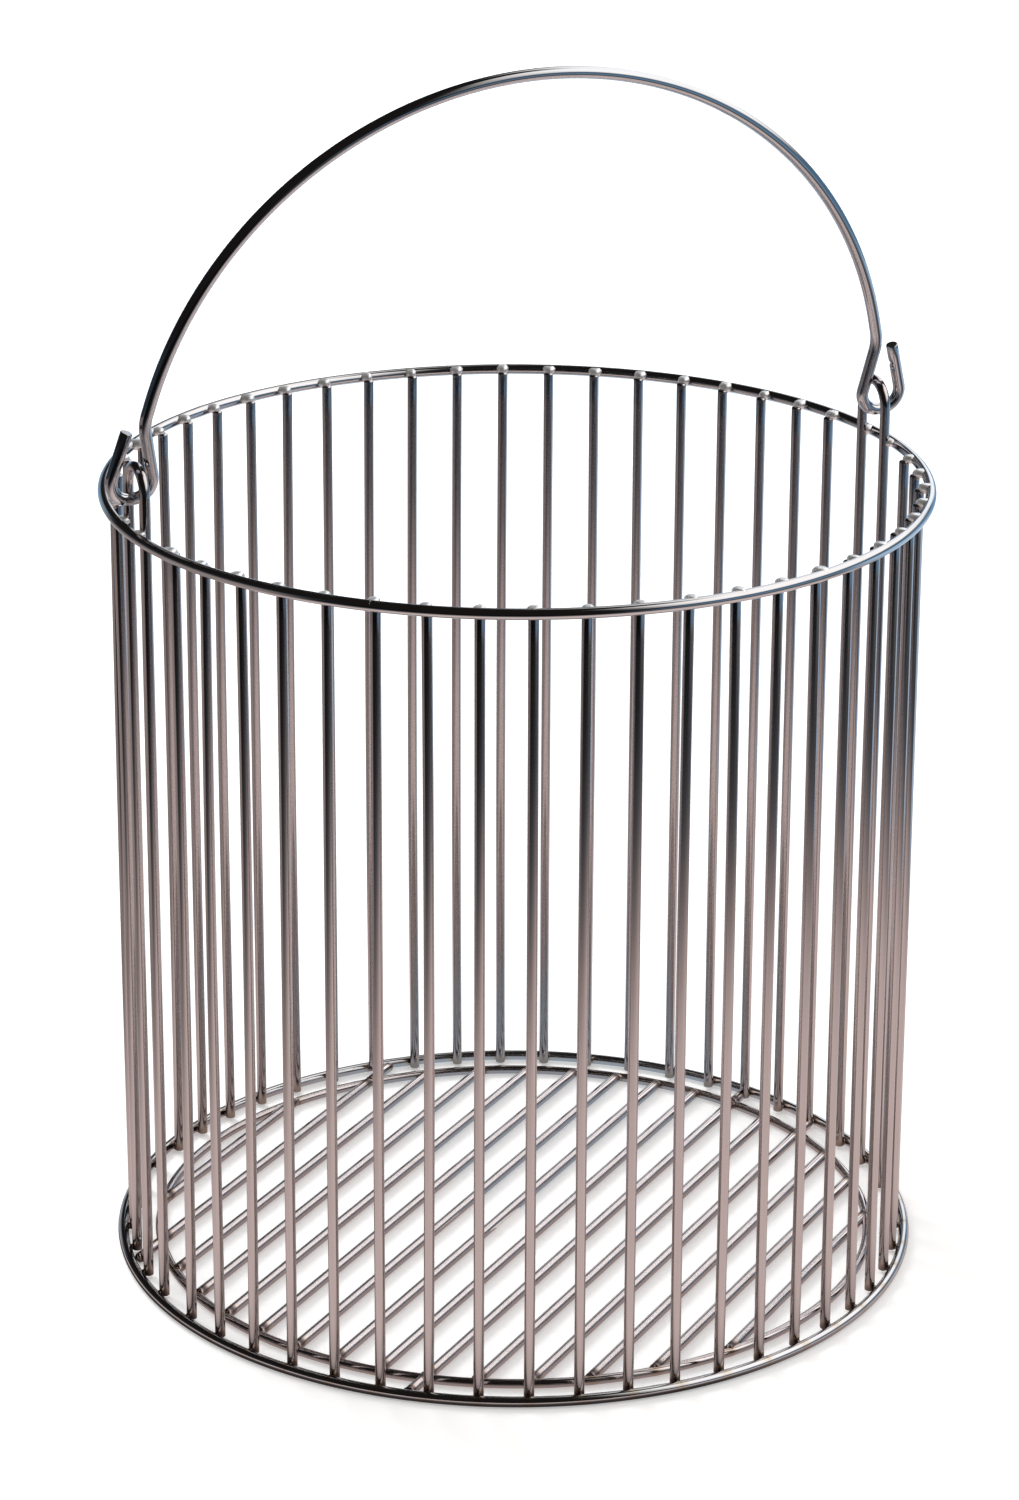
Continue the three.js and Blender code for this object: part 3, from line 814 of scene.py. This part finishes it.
# %% Bail handle
BAIL_RADIUS = 2.25 * MM
BAIL_RISE, BAIL_LEAN = 145.5 * MM, math.radians(9)
SHOULDER_INSET, SHOULDER_HEIGHT, SHOULDER_RUN = 4 * MM, 36 * MM, 8.3 * MM
HOOK_INSIDE, HOOK_OUTSIDE, HOOK_TIP_OUT, HOOK_TIP_HEIGHT = 7 * MM, 12 * MM, 4.5 * MM, 26 * MM
HOOK_BENDS = [18 * MM, 7 * MM, 7 * MM]
ARCH_POINTS, BAIL_SIDES = 110, 24
NICK_FROM_TIP, NICK_WIDE, NICK_DEEP, NICK_TURN = 7.5 * MM, 0.8 * MM, 0.25, 2.6
NICK_ROWS = np.linspace(-2, 2, 13) * MM
pivot = np.array(frame["record"]["behaviour"]["joints"][0]["pos_m"], float)

shoulder = np.array([ear_plane - SHOULDER_INSET, SHOULDER_HEIGHT])
arch_depth = BAIL_RISE - SHOULDER_HEIGHT
arch_radius = (shoulder[0] ** 2 + arch_depth ** 2) / (2 * arch_depth)
arch_end = math.atan2(shoulder[1] - (BAIL_RISE - arch_radius), shoulder[0])
arch_turn = np.linspace(math.pi - arch_end, arch_end, ARCH_POINTS)
arch = np.column_stack([arch_radius * np.cos(arch_turn),
                        BAIL_RISE - arch_radius + arch_radius * np.sin(arch_turn)])
leaving = np.array([math.sin(arch_end), -math.cos(arch_end)])
hook = bent_path([shoulder, shoulder + SHOULDER_RUN * leaving,
                  (ear_plane - HOOK_INSIDE, 0), (ear_plane + HOOK_OUTSIDE, 0),
                  (ear_plane + HOOK_TIP_OUT, HOOK_TIP_HEIGHT)], HOOK_BENDS)[1:]
flat = np.vstack([(hook * (-1, 1))[::-1], arch, hook])
rising = np.array([0, -math.sin(BAIL_LEAN), math.cos(BAIL_LEAN)])
bail_path = pivot + flat[:, :1] * np.array([1.0, 0, 0]) + flat[:, 1:] * rising
bail_length = lengths_along(bail_path)[-1]
nick_place = bail_length - NICK_FROM_TIP
bail_path = with_points(bail_path, nick_place + NICK_ROWS)


def nicked(s, v):
    """Scale of the radius with a small bite out of one side near the right tip, made by the cutters."""
    along = np.exp(-((s - nick_place) / NICK_WIDE) ** 2)
    return 1 - NICK_DEEP * along * np.clip(np.cos(v - NICK_TURN), 0, 1) ** 2


bail = round_wire("bail_wire", bail_path, np.cross(rising, (1, 0, 0)), BAIL_RADIUS, BAIL_STEEL,
                  sides=BAIL_SIDES, reshape=nicked)
fit_on(bail, "bail", "bail_steel", "bail_handle")
print("bail wire", round(bail_length / MM), "mm long, arch radius", round(arch_radius / MM, 1), "mm")

# %% [markdown]
# Each joint is a small spot weld: the two wires sink into each other and a bead of metal is
# pressed out between them. A bead is a squashed ball with only a few dozen faces, because there
# are over a hundred. All beads of one kind are worked out at once as one array.

# %% Weld beads
BEAD_ROWS, BEAD_TURNS, BEAD_POLE = 6, 8, 0.25
BEAD_SPREAD, BEAD_LEAST, BEAD_MOST = 0.1, 0.8, 1.2


def weld_beads(name, centres, outward, sizes, material, weld_heat_and_shade, flat=1.0):
    """Squashed balls. Each point is the bead's centre plus its three half sizes times the directions
    outward, sideways and up, by the cosines and sines of latitude and longitude. The top is cut
    level at the share flat of the height."""
    centres, outward = np.asarray(centres, float), np.asarray(outward, float)
    sideways = np.cross(UP, outward)
    lat = np.linspace(-math.pi / 2 + BEAD_POLE, math.pi / 2 - BEAD_POLE, BEAD_ROWS)
    lon = np.arange(BEAD_TURNS) * TAU / BEAD_TURNS
    x = (np.cos(lat)[:, None] * np.cos(lon)).ravel()
    y = (np.cos(lat)[:, None] * np.sin(lon)).ravel()
    z = (np.minimum(np.sin(lat), flat)[:, None] * np.ones(BEAD_TURNS)).ravel()
    uneven = random.normal(1, BEAD_SPREAD, (len(centres), 3)).clip(BEAD_LEAST, BEAD_MOST)
    half = np.asarray(sizes) * uneven
    points = (centres[:, None, :] + (half[:, :1] * x)[..., None] * outward[:, None, :]
              + (half[:, 1:2] * y)[..., None] * sideways[:, None, :]
              + (half[:, 2:] * z)[..., None] * UP)
    per_bead = BEAD_ROWS * BEAD_TURNS
    shift = np.arange(len(centres))[:, None] * per_bead
    quads = (grid_quads(BEAD_ROWS, BEAD_TURNS, wrap=True)[None] + shift[..., None]).reshape(-1, 4)
    bottom = (np.arange(BEAD_TURNS)[::-1][None] + shift).tolist()
    top = (np.arange(BEAD_TURNS)[None] + (BEAD_ROWS - 1) * BEAD_TURNS + shift).tolist()
    faces = quads.tolist() + bottom + top
    corners = sum(len(face) for face in faces)
    uv = np.zeros((corners, 2))
    # One weld value for every point of a bead: stain with painted corner shade.
    heat = np.full(len(centres) * per_bead, weld_heat_and_shade)
    return mesh_piece(name, points.reshape(-1, 3), faces, uv, heat, material)


print("each bead has", BEAD_ROWS * BEAD_TURNS, "points")

# %% [markdown]
# The beads along the rim are the largest: pale, wide and pressed flat on top, and their pale
# colour is partly painted glint. Those of the base hoop and of the floor are small and fill the
# corners between the wires; their stain is partly painted shade of those corners. Half sizes
# are given outwards, sideways and up.

# %% Beads on the hoops, bars and ties
RIM_BEAD, RIM_INSET, RIM_LIFT, RIM_FLAT = np.array([3.3, 2.6, 2.2]) * MM, 1.9 * MM, 0.6 * MM, 0.6
BASE_BEAD, BASE_INSET, BASE_STAIN_AND_SHADE = np.array([0.7, 1.3, 1.35]) * MM, 2.15 * MM, 0.5
BAR_BEAD, BAR_INSET = np.array([1.3, 2.5, 1.9]) * MM, 0.6 * MM
TIE_BEAD = np.array([0.8, 2.3, 1.9]) * MM
FLOOR_STAIN_AND_SHADE = 0.3
outward = np.column_stack([np.cos(wall_turns), np.sin(wall_turns), np.zeros(len(wall_turns))])
# Rim beads carry no stain; base beads carry stain with painted corner shade.
for node, name, size, inset, lift, heat, finish, flat in (
        ("rim_ring", "rim_welds", RIM_BEAD, RIM_INSET, RIM_LIFT, 0.0, WELD_STEEL, RIM_FLAT),
        ("base_ring", "base_welds", BASE_BEAD, BASE_INSET, 0.0, BASE_STAIN_AND_SHADE, RING_STEEL, 1.0)):
    hoop_radius, height = hoops[node]
    centres = outward * (hoop_radius - inset) + UP * (height + lift)
    beads = weld_beads(name, centres, outward, size, finish, heat, flat)
    fit_on(beads, "basket", "ring_steel")
ends = bar_ends.reshape(-1, 3)
end_out = np.column_stack([np.cos(end_turns), np.sin(end_turns), np.zeros(len(end_turns))])
beads = weld_beads("floor_welds", ends - end_out * BAR_INSET, end_out, BAR_BEAD, FLOOR_STEEL, FLOOR_STAIN_AND_SHADE)
fit_on(beads, "basket", "floor_steel")
tie_out = np.asarray(tie_spots) * (1, 1, 0)
tie_out = tie_out / np.linalg.norm(tie_out, axis=1, keepdims=True)
beads = weld_beads("tie_welds", tie_spots, tie_out, TIE_BEAD, FLOOR_STEEL, FLOOR_STAIN_AND_SHADE)
fit_on(beads, "basket", "floor_steel")
print(2 * len(outward) + len(ends) + len(tie_spots), "weld beads")
